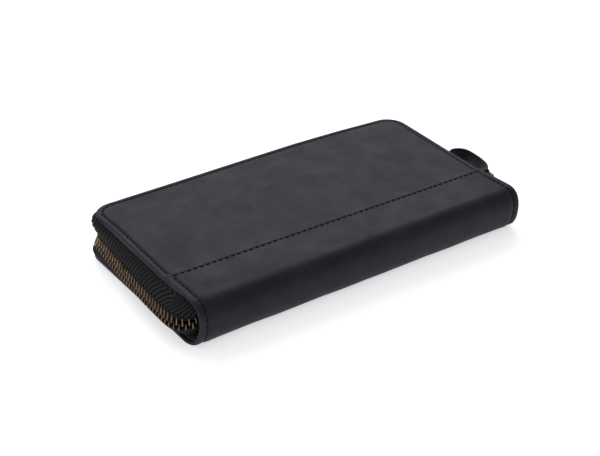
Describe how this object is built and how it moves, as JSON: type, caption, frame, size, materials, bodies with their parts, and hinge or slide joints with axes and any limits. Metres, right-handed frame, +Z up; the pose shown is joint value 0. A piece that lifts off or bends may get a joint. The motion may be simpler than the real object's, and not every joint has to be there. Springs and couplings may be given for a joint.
{
  "type": "long wallet",
  "caption": "Zip-around long wallet lying flat, with a lapped leather spine, card pockets, a zipped coin pocket and a leather loop pull.",
  "frame": {"origin": "on the bottom cover's outer face, at the centre of the wallet's outline", "axes": "+X along the length, towards the end where the slider rests; +Y from the spine towards the long zip side; +Z up"},
  "size_m": [0.226, 0.11, 0.0259],
  "materials": {
    "cover_leather": "smooth semi-matte black leather, slightly blue",
    "pull_leather": "smooth semi-matte black leather",
    "pocket_leather": "matte black leather",
    "lining_fabric": "fine black twill",
    "board": "grey paperboard",
    "zip_tape": "black herringbone zip tape",
    "zip_teeth": "antique brass",
    "zip_hardware": "antique brass"
  },
  "bodies": {
    "root": {"bottom_cover_leather": "cover_leather", "bottom_stiffener": "board", "bottom_lining": "lining_fabric", "bottom_slip_panel": "pocket_leather", "bottom_card_pocket_1": "pocket_leather", "bottom_card_pocket_2": "pocket_leather", "bottom_card_pocket_3": "pocket_leather", "bottom_card_pocket_4": "pocket_leather", "spine_leather": "cover_leather", "spine_lining": "lining_fabric", "gusset_left": "lining_fabric", "gusset_right": "lining_fabric", "lower_zip_tape": "zip_tape", "lower_zip_teeth": "zip_teeth", "lower_top_stop": "zip_teeth", "zip_bottom_stop": "zip_teeth"},
    "top_cover": {"top_cover_leather": "cover_leather", "top_stiffener": "board", "top_lining": "lining_fabric", "top_slip_panel": "pocket_leather", "top_card_pocket_1": "pocket_leather", "top_card_pocket_2": "pocket_leather", "top_card_pocket_3": "pocket_leather", "top_card_pocket_4": "pocket_leather", "upper_zip_tape": "zip_tape", "upper_zip_teeth": "zip_teeth", "upper_top_stop": "zip_teeth"},
    "coin_leaf": {"coin_pocket_lower_panel": "pocket_leather", "coin_pocket_upper_panel": "pocket_leather", "coin_zip_lower_tape": "zip_tape", "coin_zip_upper_tape": "zip_tape", "coin_zip_lower_teeth": "zip_teeth", "coin_zip_upper_teeth": "zip_teeth", "coin_zip_left_stop": "zip_teeth", "coin_zip_right_stop": "zip_teeth"},
    "zip_slider": {"zip_slider_body": "zip_hardware", "zip_slider_crown": "zip_hardware"},
    "pull_ring": {"pull_ring": "zip_hardware"},
    "pull_loop": {"pull_loop": "pull_leather", "pull_keeper": "pull_leather"},
    "coin_slider": {"coin_slider_body": "zip_hardware"},
    "coin_pull": {"coin_pull": "zip_hardware"}
  },
  "joints": [
    {"name": "cover_open", "type": "hinge", "parent": "root", "child": "top_cover", "pos_m": [0, -0.05, 0.012], "axis": [1, 0, 0], "range_deg": [0, 60], "deforming": ["spine_leather", "spine_lining", "gusset_left", "gusset_right", "lower_zip_teeth", "upper_zip_teeth"]},
    {"name": "coin_leaf_swing", "type": "hinge", "parent": "root", "child": "coin_leaf", "pos_m": [0, -0.05, 0.012], "axis": [1, 0, 0], "range_deg": [0, 30]},
    {"name": "zip_slider_travel", "type": "slide", "parent": "root", "child": "zip_slider", "axis": [0, 1, 0], "range_m": [0, 0.066], "deforming": ["lower_zip_teeth", "upper_zip_teeth"]},
    {"name": "pull_ring_swing", "type": "hinge", "parent": "zip_slider", "child": "pull_ring", "pos_m": [0.106, -0.0285, 0.0125], "axis": [0, 0, -1], "range_deg": [0, 110]},
    {"name": "pull_loop_swing", "type": "hinge", "parent": "pull_ring", "child": "pull_loop", "pos_m": [0.11032, -0.02038, 0.0125], "axis": [0, 0, -1], "range_deg": [-4, 60]},
    {"name": "coin_slider_travel", "type": "slide", "parent": "coin_leaf", "child": "coin_slider", "axis": [-1, 0, 0], "range_m": [0, 0.15], "deforming": ["coin_zip_lower_teeth", "coin_zip_upper_teeth"]},
    {"name": "coin_pull_swing", "type": "hinge", "parent": "coin_slider", "child": "coin_pull", "pos_m": [0.0782, 0.03785, 0.0127], "axis": [0, 0.0148, -0.9999], "range_deg": [0, 165]}
  ],
  "couplings": [
    {"joint": "coin_leaf_swing", "follows": "cover_open", "ratio": 0.5}
  ]
}
